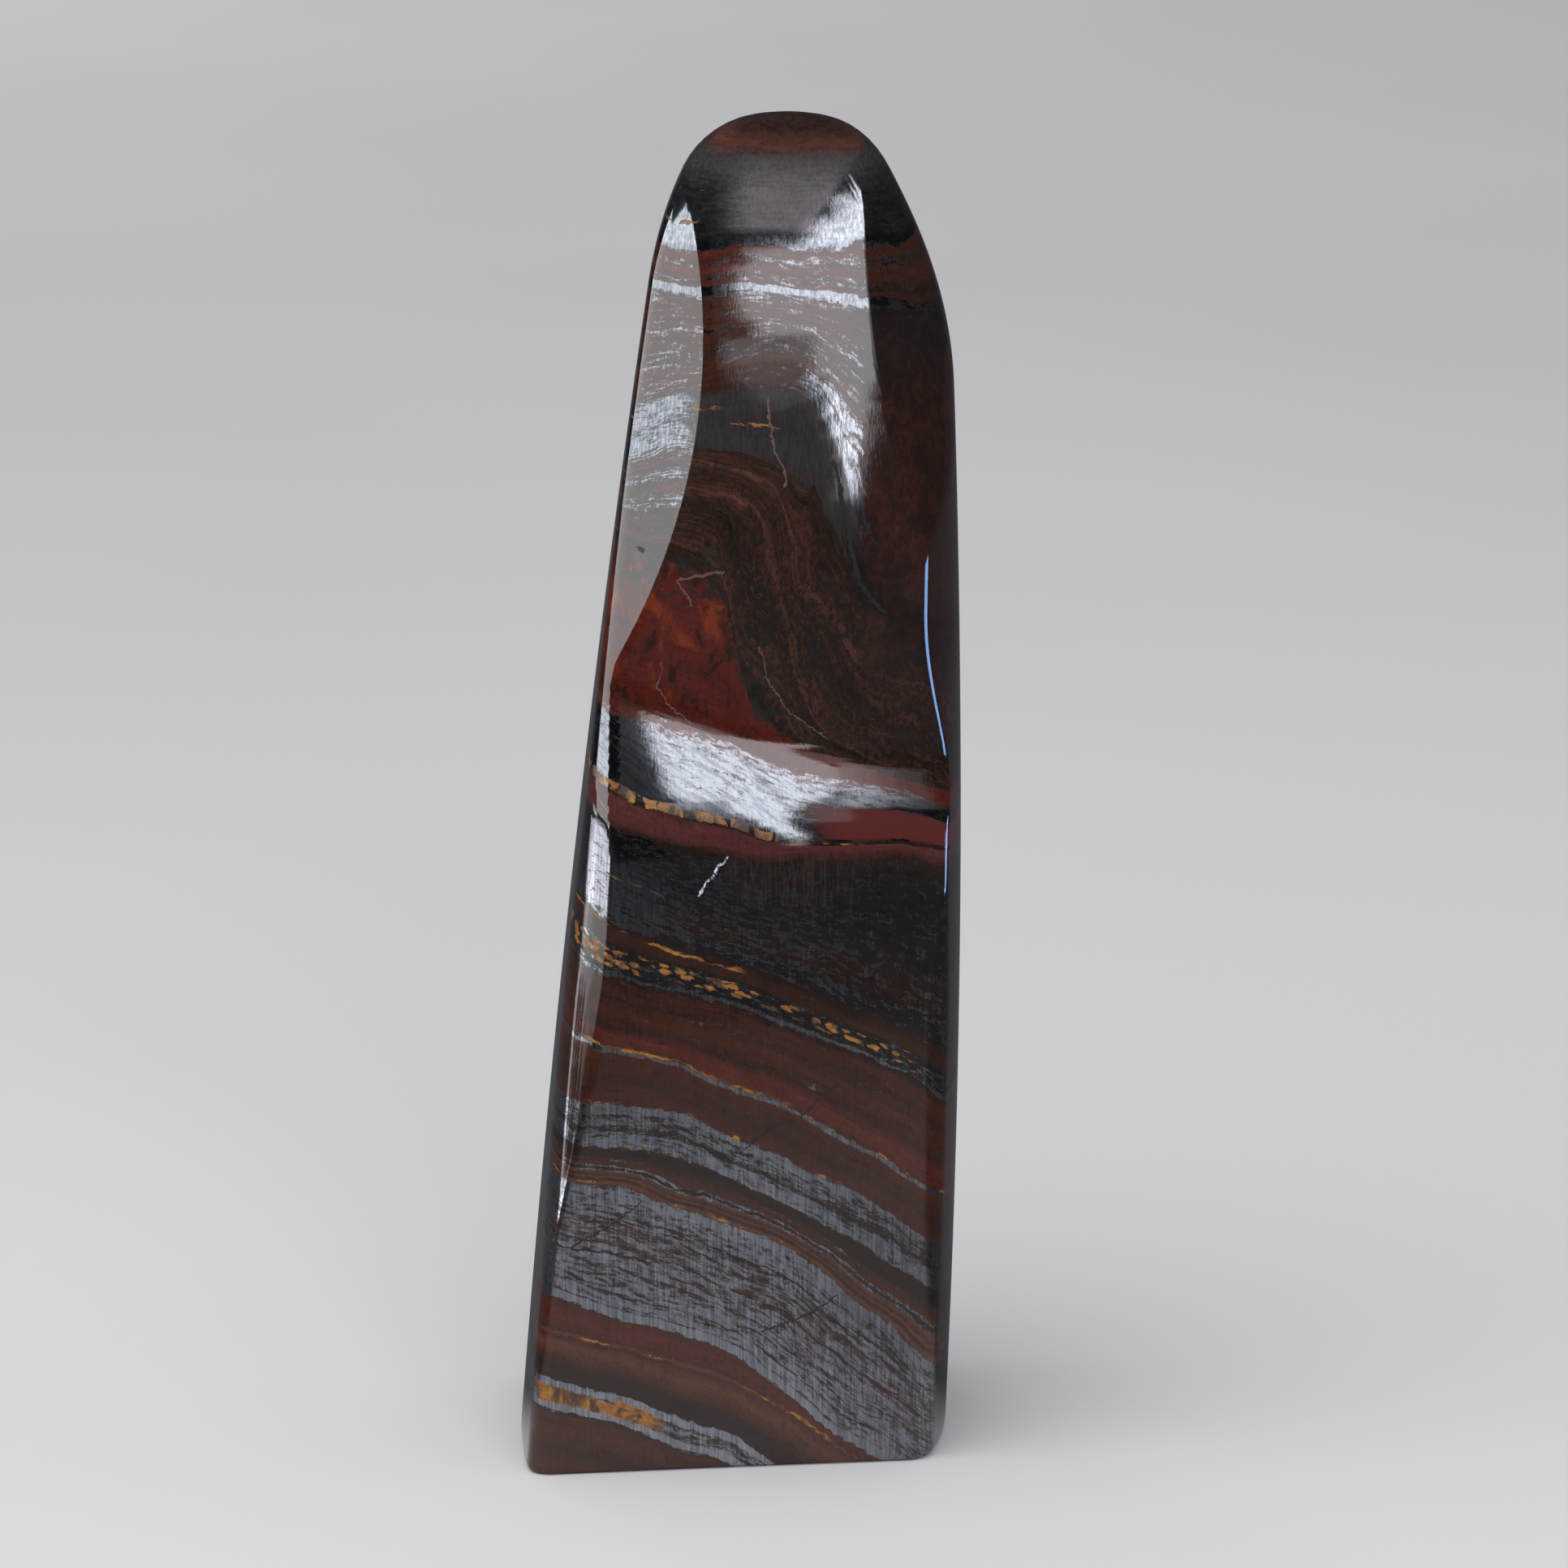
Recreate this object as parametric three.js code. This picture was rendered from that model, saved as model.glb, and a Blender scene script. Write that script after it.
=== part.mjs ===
// A free-standing tower of banded ironstone: one stone, ground by hand into flat and slightly curved faces,
// polished all over and sawn flat underneath. Millimetres, +Z up, front towards -Y, and the origin under the
// middle of the bounding box, on the flat base.
import * as THREE from 'three';

// Overall
const HEIGHT = 112.2;
const BASE_EDGE = 0.8; // radius ground on the rim of the base
const DOME_START = 98; // above this height the surface is found along rays that fan out upwards

// The stone leans: its axis runs from AXIS_FOOT at the base to AXIS_HEAD at the dome.
const AXIS_FOOT = -0.6;
const AXIS_HEAD = 4.4;

// Every ground face has a bearing, in degrees from the front and positive to the right, and a reach: how far
// it stands from the origin along that bearing, as [height, reach] at three heights. A face with an arch falls
// away from its middle line: the arch is how fast, in mm per mm squared.
const LOWER_FRONT = { bearing: 7.3, reach: [[0, 14.1], [24, 14], [56, 12.7]] };
const UPPER_FRONT = { bearing: 1, reach: [[56, 9.25], [71, 10.45], [104, 4.68]], arch: 0.0032, middle: 3 };
const LEDGE = { bearing: 7.3, reach: [[54, 12.95], [59, 11.25], [64, 9.55]] };
const UPPER_LEFT_BEVEL = { bearing: -35, reach: [[56.5, 17.2], [80, 10.85], [104, 5.8]] };
const LOWER_LEFT_BEVEL = { bearing: -42, reach: [[30, 20.4], [43, 18.4], [56.5, 17.35]] };
const UPPER_RIGHT_BEVEL = { bearing: 38, reach: [[76, 17.2], [94, 12.7], [106, 9.3]] };
const LEFT_SIDE = { bearing: -90, reach: [[0, 18.75], [55, 13.35], [98, 7.6]] };
const RIGHT_SIDE = { bearing: 90, reach: [[0, 17.65], [48, 18.65], [84, 18.05]] };
const BACK = { bearing: 184, reach: [[0, 14.9], [55, 13.2], [100, 9]] };
const BACK_LEFT_BEVEL = { bearing: -139, reach: [[0, 20.4], [50, 15.2], [100, 9.2]] };
const BACK_RIGHT_BEVEL = { bearing: 141, reach: [[0, 22.2], [50, 19.2], [100, 15.4]] };

// The two sides are pillowed from front to back: their bulge is how fast they fall away, in mm per mm squared.
const LEFT_BULGE = 0.004;
const RIGHT_BULGE_LOW = 0.012;
const RIGHT_BULGE_HIGH = 0.034;
const RIGHT_BULGE_HEIGHTS = [54, 72];

// Shoulders: flats that lean in towards the crown, each through a point [x, z] of its outline.
const RIGHT_SHOULDER = { point: [12.7, 107], lean: 28.6 };
const LEFT_SHOULDER = { point: [-4.4, 108.6], lean: 33 };
const CROWN = { x: 3.9, curve: 0.008 };

// How far the meeting of two faces is rounded. A sharp ridge has a small value and a soft corner a large one.
const RIDGE = 0.35;
const LEDGE_LIP = 0.9;
const LEDGE_ROOT = 0.7;
const LEFT_CORNER = { low: 2, high: 1, from: 40, to: 60 };
const RIGHT_CORNER = { low: 1.8, high: 0.5, from: 38, to: 50 };
const RIGHT_CORNER_TOP = { extra: 2.5, from: 76, to: 88 };
const BACK_CORNER = 3;
const BACK_BEVEL = 2;
const SHOULDER_RIGHT = 3.6;
const SHOULDER_LEFT = 3;
const CROWN_ROUND = 4.2;

// Mesh: a thin blank around the stone's axis, whose vertices are pushed out to the surface
const BLANK_RADIUS = 1;
const COLUMNS = 72;
const CORNERS = 4;
const CROWDING = 0.1; // draws the columns together at the corners of the base
const EDGE_ROWS = 3;
const COARSE_ROW = 2.6;
const FINE_ROW = 1.3;
const FINE_FROM = 50;
const FINE_TO = 68;
const DOME_ROWS = 13;
const UP = new THREE.Vector3(0, 0, 1);
const SEARCH_LIMIT = 60; // no part of the stone is further than this from its axis
const SEARCH_STEPS = 40;

/** The larger of two distances, rounded off where they are within `size` of each other. */
function roundedMax(a, b, size) {
  const overlap = Math.max(size - Math.abs(a - b), 0);
  return Math.max(a, b) + (overlap * overlap) / (4 * size);
}

function roundedMin(a, b, size) {
  return -roundedMax(-a, -b, size);
}

/** Goes smoothly from 0 to 1 as the height goes from `from` to `to`. */
function ease(height, from, to) {
  return THREE.MathUtils.smoothstep(height, from, to);
}

/** The parabola through three [height, reach] pairs. */
function reachAt(height, [[z0, r0], [z1, r1], [z2, r2]]) {
  const lowSlope = (r1 - r0) / (z1 - z0);
  const highSlope = (r2 - r1) / (z2 - z1);
  const bend = (highSlope - lowSlope) / (z2 - z0);
  return r0 + lowSlope * (height - z0) + bend * (height - z0) * (height - z1);
}

/** How far a point is outside a face, negative inside. */
function beyond(face, point) {
  const bearing = THREE.MathUtils.degToRad(face.bearing);
  const along = point.x * Math.sin(bearing) - point.y * Math.cos(bearing);
  const distance = along - reachAt(point.z, face.reach);
  if (face.arch === undefined) {
    return distance;
  }
  const across = point.x * Math.cos(bearing) + point.y * Math.sin(bearing) - face.middle;
  return distance + face.arch * across * across;
}

function beyondShoulder(shoulder, point, side) {
  const lean = THREE.MathUtils.degToRad(shoulder.lean);
  const [x, z] = shoulder.point;
  return side * (point.x - x) * Math.cos(lean) + (point.z - z) * Math.sin(lean);
}

/** The lower front stands forward, and a sloping ledge leads back from it to the upper front. */
function beyondFront(point) {
  const above = roundedMin(beyond(UPPER_FRONT, point), beyond(LEDGE, point), LEDGE_ROOT);
  return roundedMax(beyond(LOWER_FRONT, point), above, LEDGE_LIP);
}

function beyondLeftSide(point) {
  return beyond(LEFT_SIDE, point) + LEFT_BULGE * point.y * point.y;
}

function beyondRightSide(point) {
  const share = ease(point.z, ...RIGHT_BULGE_HEIGHTS);
  const bulge = THREE.MathUtils.lerp(RIGHT_BULGE_LOW, RIGHT_BULGE_HIGH, share);
  return beyond(RIGHT_SIDE, point) + bulge * point.y * point.y;
}

function beyondCrown(point) {
  const out = (point.x - CROWN.x) ** 2 + point.y ** 2;
  return point.z - HEIGHT + CROWN.curve * out;
}

function leftCorner(height) {
  const share = ease(height, LEFT_CORNER.from, LEFT_CORNER.to);
  return THREE.MathUtils.lerp(LEFT_CORNER.low, LEFT_CORNER.high, share);
}

function rightCorner(height) {
  const share = ease(height, RIGHT_CORNER.from, RIGHT_CORNER.to);
  const size = THREE.MathUtils.lerp(RIGHT_CORNER.low, RIGHT_CORNER.high, share);
  return size + RIGHT_CORNER_TOP.extra * ease(height, RIGHT_CORNER_TOP.from, RIGHT_CORNER_TOP.to);
}

/** How far a point is outside the stone, negative inside. */
function beyondStone(point) {
  const joined = [
    [beyond(UPPER_LEFT_BEVEL, point), RIDGE],
    [beyond(LOWER_LEFT_BEVEL, point), RIDGE],
    [beyond(UPPER_RIGHT_BEVEL, point), RIDGE],
    [beyondLeftSide(point), leftCorner(point.z)],
    [beyondRightSide(point), rightCorner(point.z)],
    [beyond(BACK, point), BACK_CORNER],
    [beyond(BACK_LEFT_BEVEL, point), BACK_BEVEL],
    [beyond(BACK_RIGHT_BEVEL, point), BACK_BEVEL],
    [beyondShoulder(RIGHT_SHOULDER, point, 1), SHOULDER_RIGHT],
    [beyondShoulder(LEFT_SHOULDER, point, -1), SHOULDER_LEFT],
    [beyondCrown(point), CROWN_ROUND],
  ];
  return joined.reduce((distance, [next, size]) => roundedMax(distance, next, size), beyondFront(point));
}

/** How far the surface is from a point inside the stone, along a unit vector. */
function distanceToSurface(start, way) {
  const point = new THREE.Vector3();
  let inside = 0;
  let outside = SEARCH_LIMIT;
  for (let step = 0; step < SEARCH_STEPS; step += 1) {
    const middle = (inside + outside) / 2;
    point.copy(start).addScaledVector(way, middle);
    if (beyondStone(point) < 0) {
      inside = middle;
    } else {
      outside = middle;
    }
  }
  return inside;
}

/** How far the rim of the base is ground in at a height, a quarter circle. */
function rimInset(height) {
  const below = Math.max(BASE_EDGE - height, 0);
  return BASE_EDGE - Math.sqrt(BASE_EDGE * BASE_EDGE - below * below);
}

function pointOnAxis(height) {
  const x = THREE.MathUtils.lerp(AXIS_FOOT, AXIS_HEAD, height / DOME_START);
  return new THREE.Vector3(x, 0, height);
}

/** Half the outline of the blank: a thin round bar that ends in a dome of its own radius. */
function blankProfile() {
  const profile = [new THREE.Vector2(0, 0)];
  for (let row = 0; row < EDGE_ROWS; row += 1) {
    const height = BASE_EDGE * (1 - Math.cos((row / EDGE_ROWS) * (Math.PI / 2)));
    profile.push(new THREE.Vector2(BLANK_RADIUS, height));
  }
  let height = BASE_EDGE;
  while (height < DOME_START) {
    profile.push(new THREE.Vector2(BLANK_RADIUS, height));
    const fine = height > FINE_FROM && height < FINE_TO;
    height += fine ? FINE_ROW : COARSE_ROW;
  }
  for (let row = 0; row < DOME_ROWS; row += 1) {
    const angle = (row / DOME_ROWS) * (Math.PI / 2);
    const out = BLANK_RADIUS * Math.cos(angle);
    profile.push(new THREE.Vector2(out, DOME_START + BLANK_RADIUS * Math.sin(angle)));
  }
  profile.push(new THREE.Vector2(0, DOME_START + BLANK_RADIUS));
  return profile;
}

/** Turns a horizontal direction a little towards the nearest corner of the base. */
function turnToCorner(way) {
  const angle = Math.atan2(way.y, way.x);
  return way.applyAxisAngle(UP, CROWDING * Math.sin(CORNERS * angle));
}

/** Moves a vertex of the blank outwards from the axis until it lies on the stone's surface. */
function grind(vertex) {
  const height = THREE.MathUtils.clamp(vertex.z, 0, DOME_START);
  const start = pointOnAxis(height);
  const way = new THREE.Vector3(vertex.x, vertex.y, vertex.z - height);
  if (way.length() < BLANK_RADIUS / 2) {
    return start; // the middle of the base
  }
  turnToCorner(way.normalize());
  const distance = distanceToSurface(start, way) - rimInset(height);
  return start.addScaledVector(way, distance);
}

function stoneGeometry() {
  const geometry = new THREE.LatheGeometry(blankProfile(), COLUMNS);
  geometry.rotateX(Math.PI / 2);
  const position = geometry.getAttribute('position');
  const vertex = new THREE.Vector3();
  for (let i = 0; i < position.count; i += 1) {
    const ground = grind(vertex.fromBufferAttribute(position, i));
    position.setXYZ(i, ground.x, ground.y, ground.z);
  }
  geometry.computeBoundingBox();
  const centre = geometry.boundingBox.getCenter(new THREE.Vector3());
  geometry.translate(-centre.x, -centre.y, 0);
  geometry.computeVertexNormals();
  return geometry;
}

const polishedIronstone = new THREE.MeshStandardMaterial({ color: 0x46302b, roughness: 0.25, metalness: 0.2 });

const stone = new THREE.Mesh(stoneGeometry(), polishedIronstone);
stone.name = 'ironstone_tower';

const part = new THREE.Group();
part.add(stone);

export default part;
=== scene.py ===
"""Looks of the banded ironstone tower: one polished stone, its strata, and a plain studio around it.

The stone is the same set of ground faces as in the CAD source, at a finer mesh. Shape and strata are worked
out in millimetres and turned into metres where they meet Blender.
"""
from math import cos, pi, radians, sin, tan

import bpy
import numpy as np
from mathutils import Matrix, Vector


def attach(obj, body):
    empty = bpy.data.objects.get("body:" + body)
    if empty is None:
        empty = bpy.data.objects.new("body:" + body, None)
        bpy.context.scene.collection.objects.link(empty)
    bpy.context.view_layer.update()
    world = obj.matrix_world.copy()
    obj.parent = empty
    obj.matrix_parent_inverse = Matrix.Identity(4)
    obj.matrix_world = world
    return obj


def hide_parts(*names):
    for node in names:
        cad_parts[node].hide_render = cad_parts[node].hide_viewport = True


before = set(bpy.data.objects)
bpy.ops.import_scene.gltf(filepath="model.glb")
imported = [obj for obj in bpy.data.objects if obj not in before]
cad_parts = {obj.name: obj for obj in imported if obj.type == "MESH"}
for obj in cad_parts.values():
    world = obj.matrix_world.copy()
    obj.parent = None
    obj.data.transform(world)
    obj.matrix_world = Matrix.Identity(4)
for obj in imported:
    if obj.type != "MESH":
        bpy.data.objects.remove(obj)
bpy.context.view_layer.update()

MM = 0.001
NODE = "ironstone_tower"

# ------------------------ the stone's faces, as in the CAD source

HEIGHT = 112.2
BASE_EDGE = 0.8
DOME_START = 98
AXIS_FOOT = -0.6
AXIS_HEAD = 4.4

# bearing in degrees from the front, reach as (height, reach) at three heights, and arch: how fast the face
# falls away from its middle line, in mm per mm squared
LOWER_FRONT = dict(bearing=7.3, reach=((0, 14.1), (24, 14), (56, 12.7)))
UPPER_FRONT = dict(bearing=1, reach=((56, 9.25), (71, 10.45), (104, 4.68)), arch=0.0032, middle=3)
LEDGE = dict(bearing=7.3, reach=((54, 12.95), (59, 11.25), (64, 9.55)))
UPPER_LEFT_BEVEL = dict(bearing=-35, reach=((56.5, 17.2), (80, 10.85), (104, 5.8)))
LOWER_LEFT_BEVEL = dict(bearing=-42, reach=((30, 20.4), (43, 18.4), (56.5, 17.35)))
UPPER_RIGHT_BEVEL = dict(bearing=38, reach=((76, 17.2), (94, 12.7), (106, 9.3)))
LEFT_SIDE = dict(bearing=-90, reach=((0, 18.75), (55, 13.35), (98, 7.6)))
RIGHT_SIDE = dict(bearing=90, reach=((0, 17.65), (48, 18.65), (84, 18.05)))
BACK = dict(bearing=184, reach=((0, 14.9), (55, 13.2), (100, 9)))
BACK_LEFT_BEVEL = dict(bearing=-139, reach=((0, 20.4), (50, 15.2), (100, 9.2)))
BACK_RIGHT_BEVEL = dict(bearing=141, reach=((0, 22.2), (50, 19.2), (100, 15.4)))
LEFT_BULGE = 0.004
RIGHT_BULGE = dict(low=0.012, high=0.034, start=54, end=72)
RIGHT_SHOULDER = dict(point=(12.7, 107), lean=28.6)
LEFT_SHOULDER = dict(point=(-4.4, 108.6), lean=33)
CROWN_X = 3.9
CROWN_CURVE = 0.008

RIDGE = 0.35
LEDGE_LIP = 0.9
LEDGE_ROOT = 0.7
LEFT_CORNER = dict(low=2, high=1, start=40, end=60)
RIGHT_CORNER = dict(low=1.8, high=0.5, start=38, end=50)
RIGHT_CORNER_TOP = dict(low=0, high=2.5, start=76, end=88)
BACK_CORNER = 3
BACK_BEVEL = 2
SHOULDER_RIGHT = 3.6
SHOULDER_LEFT = 3
CROWN_ROUND = 4.2

# mesh
COLUMNS = 400
EDGE_ROWS = 5
COARSE_ROW = 0.62
FINE_ROW = 0.35
FINE_FROM = 50
FINE_TO = 66
DOME_ROWS = 24
SEARCH_LIMIT = 60
SEARCH_STEPS = 40


def rounded_max(a, b, size):
    overlap = np.maximum(size - np.abs(a - b), 0)
    return np.maximum(a, b) + overlap * overlap / (4 * size)


def ease(value, start, end):
    share = np.clip((value - start) / (end - start), 0, 1)
    return share * share * (3 - 2 * share)


def changing(measure, z):
    """A measure that eases from low to high between two heights."""
    return measure["low"] + (measure["high"] - measure["low"]) * ease(z, measure["start"], measure["end"])


def beyond(face, x, y, z):
    """How far points are outside a ground face, negative inside."""
    bearing = radians(face["bearing"])
    (z0, r0), (z1, r1), (z2, r2) = face["reach"]
    low_slope = (r1 - r0) / (z1 - z0)
    bend = ((r2 - r1) / (z2 - z1) - low_slope) / (z2 - z0)
    reach = r0 + low_slope * (z - z0) + bend * (z - z0) * (z - z1)
    along = x * sin(bearing) - y * cos(bearing)
    across = x * cos(bearing) + y * sin(bearing) - face.get("middle", 0)
    return along - reach + face.get("arch", 0) * across * across


def beyond_shoulder(shoulder, side, x, z):
    lean = radians(shoulder["lean"])
    px, pz = shoulder["point"]
    return side * (x - px) * cos(lean) + (z - pz) * sin(lean)


def beyond_stone(x, y, z):
    """How far points are outside the whole stone, negative inside."""
    above = -rounded_max(-beyond(UPPER_FRONT, x, y, z), -beyond(LEDGE, x, y, z), LEDGE_ROOT)
    stone = rounded_max(beyond(LOWER_FRONT, x, y, z), above, LEDGE_LIP)
    left_corner = changing(LEFT_CORNER, z)
    right_corner = changing(RIGHT_CORNER, z) + changing(RIGHT_CORNER_TOP, z)
    bulge = changing(RIGHT_BULGE, z)
    joined = (
        (beyond(UPPER_LEFT_BEVEL, x, y, z), RIDGE),
        (beyond(LOWER_LEFT_BEVEL, x, y, z), RIDGE),
        (beyond(UPPER_RIGHT_BEVEL, x, y, z), RIDGE),
        (beyond(LEFT_SIDE, x, y, z) + LEFT_BULGE * y * y, left_corner),
        (beyond(RIGHT_SIDE, x, y, z) + bulge * y * y, right_corner),
        (beyond(BACK, x, y, z), BACK_CORNER),
        (beyond(BACK_LEFT_BEVEL, x, y, z), BACK_BEVEL),
        (beyond(BACK_RIGHT_BEVEL, x, y, z), BACK_BEVEL),
        (beyond_shoulder(RIGHT_SHOULDER, 1, x, z), SHOULDER_RIGHT),
        (beyond_shoulder(LEFT_SHOULDER, -1, x, z), SHOULDER_LEFT),
        (z - HEIGHT + CROWN_CURVE * ((x - CROWN_X) ** 2 + y * y), CROWN_ROUND),
    )
    for distance, size in joined:
        stone = rounded_max(stone, distance, size)
    return stone


def axis_x(height):
    return AXIS_FOOT + (AXIS_HEAD - AXIS_FOOT) * height / DOME_START


def mesh_rows():
    """(height on the axis, upward angle of the rays, inset of the base's ground rim) by row, base first."""
    rows = []
    for row in range(EDGE_ROWS):
        turn = (row / EDGE_ROWS) * pi / 2
        rows.append((BASE_EDGE * (1 - cos(turn)), 0, BASE_EDGE * (1 - sin(turn))))
    height = BASE_EDGE
    while height < DOME_START:
        rows.append((height, 0, 0))
        height += FINE_ROW if FINE_FROM < height < FINE_TO else COARSE_ROW
    for row in range(DOME_ROWS):
        rows.append((DOME_START, (row / DOME_ROWS) * pi / 2, 0))
    return rows


# the hand polish: the ledge turns a little from left to right, and the hollow above it hardly faces down
LEDGE_TURN = 0.63  # degrees of bearing for each millimetre right of its middle
LEDGE_TURN_LEFT = 0.575
LEDGE_MIDDLE = 4.5  # where it faces straight along its bearing
LEDGE_SLANT = 0.42
LEDGE_HEIGHT = 62.5
HOLLOW_SHARE = 0.05  # of the downward tilt that is left in the hollow
# what it reaches: faces that look to the front, and on the ledge, heights and faces that look up
FRONT_FACING = (0.82, 0.92)
LEDGE_FROM = (48, 52)
LEDGE_TO = (70, 66)
UPWARD = (0.07, 0.16)


def polish(x, z, normals):
    """Turns the normals of the front faces by the few degrees that the hand polish adds."""
    nx, ny, nz = (normals[..., k] for k in range(3))
    front = ease(-ny, *FRONT_FACING)
    share = front * ease(z, *LEDGE_FROM) * ease(z, *LEDGE_TO) * ease(nz, *UPWARD)
    along = x - LEDGE_MIDDLE + LEDGE_SLANT * (z - LEDGE_HEIGHT)
    turn = np.radians(np.where(along > 0, LEDGE_TURN, LEDGE_TURN_LEFT)) * along * share
    nz = nz - front * (1 - HOLLOW_SHARE) * np.minimum(nz, 0)
    polished = [nx * np.cos(turn) - ny * np.sin(turn), ny * np.cos(turn) + nx * np.sin(turn), nz]
    polished = np.stack(polished, -1)
    return polished / np.linalg.norm(polished, axis=-1, keepdims=True)


def outward(x, y, z, step=0.02):
    """Unit normals of the stone's surface."""
    gradient = np.stack([
        beyond_stone(x + step, y, z) - beyond_stone(x - step, y, z),
        beyond_stone(x, y + step, z) - beyond_stone(x, y - step, z),
        beyond_stone(x, y, z + step) - beyond_stone(x, y, z - step)], -1)
    return polish(x, z, gradient / np.linalg.norm(gradient, axis=-1, keepdims=True))


def reach_from(start, way):
    """Distance from inside the stone to its surface along each way."""
    near = np.zeros(way.shape[:-1])
    far = np.full(way.shape[:-1], float(SEARCH_LIMIT))
    for _ in range(SEARCH_STEPS):
        middle = (near + far) / 2
        inside = beyond_stone(*np.moveaxis(start + way * middle[..., None], -1, 0)) < 0
        near = np.where(inside, middle, near)
        far = np.where(inside, far, middle)
    return near


def stone_surface():
    """Points, normals and faces of the stone in millimetres. The last point is the crown's."""
    rows = np.array(mesh_rows())
    height, rise, inset = (rows[:, k][:, None] for k in range(3))
    turn = np.linspace(0, 2 * pi, COLUMNS, endpoint=False)[None, :]
    way = np.stack([np.cos(turn) * np.cos(rise), np.sin(turn) * np.cos(rise), np.sin(rise) + 0 * turn], -1)
    start = np.stack([axis_x(height) + 0 * turn, 0 * height * turn, height + 0 * turn], -1)
    points = start + way * reach_from(start, way)[..., None]
    normals = outward(*np.moveaxis(points, -1, 0))
    points = points - way * inset[..., None]
    lean = np.clip(inset / BASE_EDGE, 0, 1)
    side = np.sqrt(1 - lean * lean)
    normals = normals * side[..., None] + np.array([0, 0, -1]) * lean[..., None]
    normals /= np.linalg.norm(normals, axis=-1, keepdims=True)

    up = np.array([0, 0, 1])
    crown = np.array([axis_x(DOME_START), 0, DOME_START])
    crown = crown + up * reach_from(crown, up)

    count = len(rows)
    points = np.concatenate([points.reshape(-1, 3), [crown]])
    normals = np.concatenate([normals.reshape(-1, 3), [up]])
    faces = []
    for row in range(count - 1):
        for column in range(COLUMNS):
            beside = (column + 1) % COLUMNS
            a, b = row * COLUMNS, (row + 1) * COLUMNS
            faces.append((a + column, a + beside, b + beside, b + column))
    last = (count - 1) * COLUMNS
    top = len(points) - 1
    faces += [(last + column, last + (column + 1) % COLUMNS, top) for column in range(COLUMNS)]
    faces.append(tuple(range(COLUMNS - 1, -1, -1)))
    return points, normals, faces


points, normals, faces = stone_surface()
middle = (points[:, :2].min(0) + points[:, :2].max(0)) / 2
MIDDLE_X = middle[0]

# ------------------------ strata

# Horizons traced across the front, from below: the level that names each one, then where it shows. Heights
# are taken at the depth of the lower front, and the beds rise towards the back by DIP.
FRONT_DEPTH = -13
DIP = 0.12
LOWER_X = (-14, -9, -3.5, 2, 7.5, 13, 18.5)
# (level, heights at LOWER_X)
LOWER_HORIZONS = (
    (4.3, (5.6, 4.3, 2, -1.4, -5.3, -9.2, -13.5)),
    (6.6, (8.2, 6.6, 4.4, 1, -3.1, -7.4, -12)),
    (11.1, (12.5, 11.1, 9.1, 6.2, 2.4, -1.8, -6.5)),
    (13.6, (15.4, 13.6, 11.5, 8, 2.9, -0.6, -4.5)),
    (24.6, (25.9, 24.6, 22.6, 20.4, 16.6, 11.6, 5.5)),
    (28.5, (29.1, 28.5, 26.9, 24, 20.6, 17, 13)),
    (32, (32.5, 32, 30.5, 27.9, 24.7, 21.2, 17)),
    (36.3, (37.8, 36.3, 34.4, 32.3, 29.1, 25.8, 21.5)),
    (42.9, (44.5, 42.9, 41.4, 39.4, 36.9, 34.4, 30.5)),
    (46.1, (48.4, 46.1, 44, 41.9, 39.3, 36.8, 33)),
    (55.4, (57.6, 55.4, 53.6, 52.6, 52.4, 52.5, 51.4)),
    (57.5, (59.8, 57.5, 55.7, 53.8, 53, 52.8, 51.8)),
    (63.9, (66.5, 63.9, 62.4, 60.3, 58.7, 57.4, 55.4)),
)
# (level, points as (x, height))
UPPER_HORIZONS = (
    (77.2, ((-14, 77.5), (-9, 77.2), (-4.7, 76.4), (-1.4, 73.8), (-0.2, 69), (0.8, 65), (3.3, 62.1),
     (9.3, 59.3), (17.4, 56.8))),
    (81, ((-14, 79.5), (-9.4, 81), (-4.7, 82.4), (-0.7, 82), (1.9, 79.4), (3.3, 75.7), (4.3, 69),
     (5.6, 64.1), (9.3, 60.3), (16, 57.7))),
    (83.9, ((-9, 83.9), (-3.4, 85.4), (1.9, 85.1), (5.9, 83.4), (7.6, 79.6), (8.9, 75.6), (10.6, 72.9),
     (12.6, 71.2), (17.4, 67.9))),
    (88.2, ((-8.6, 88.2), (-3.4, 89.6), (1.9, 90), (5.9, 88.7), (7.9, 84.8), (9.3, 79.6), (10.6, 76),
     (12.6, 73.6), (17.4, 70.5))),
    (90.4, ((-7.4, 90.4), (-0.7, 92.2), (3.1, 92.9), (5.8, 92.1), (7.3, 90.6), (9.1, 88.9), (10.4, 87.2),
     (12.6, 84.1), (17.4, 78.4))),
    (97.4, ((-7.1, 97.4), (1.3, 98), (10.9, 96.7), (13.3, 95.9), (16.4, 94.3))),
    (100.6, ((-6.4, 100.6), (1.9, 101.2), (10.9, 101.1), (15.4, 100.1))),
    (108, ((-2.7, 108), (3.3, 108), (8.6, 108.3))),
    (109.2, ((-1.4, 109.2), (3.3, 109.3), (8.6, 109.5))),
)
HORIZONS = [(level, tuple(zip(LOWER_X, heights))) for level, heights in LOWER_HORIZONS] + [*UPPER_HORIZONS]
FOLD_SHIFT = 0.22  # the fold's axis runs this far to the right for each millimetre of depth
# (level, place among the laminae): in the fold the beds are thicker than their levels say
LEAVES = ((-40, -40), (64, 64), (77.2, 80), (81, 86.5), (84, 92), (88.2, 98), (97.4, 107.2), (140, 149.8))
WAVER = 0.4  # how far the beds waver, and over what distance
WAVER_SIZE = 5
WAVER_SEED = 7
FLEX = 1.6  # how far the beds swell between the front and the back
FLEX_START = 8
FLEX_PERIODS = (7, 9, 30)  # in depth, across and up
THINNEST = 0.05  # of the beds
LATTICE = 64  # cells of noise each way


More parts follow.
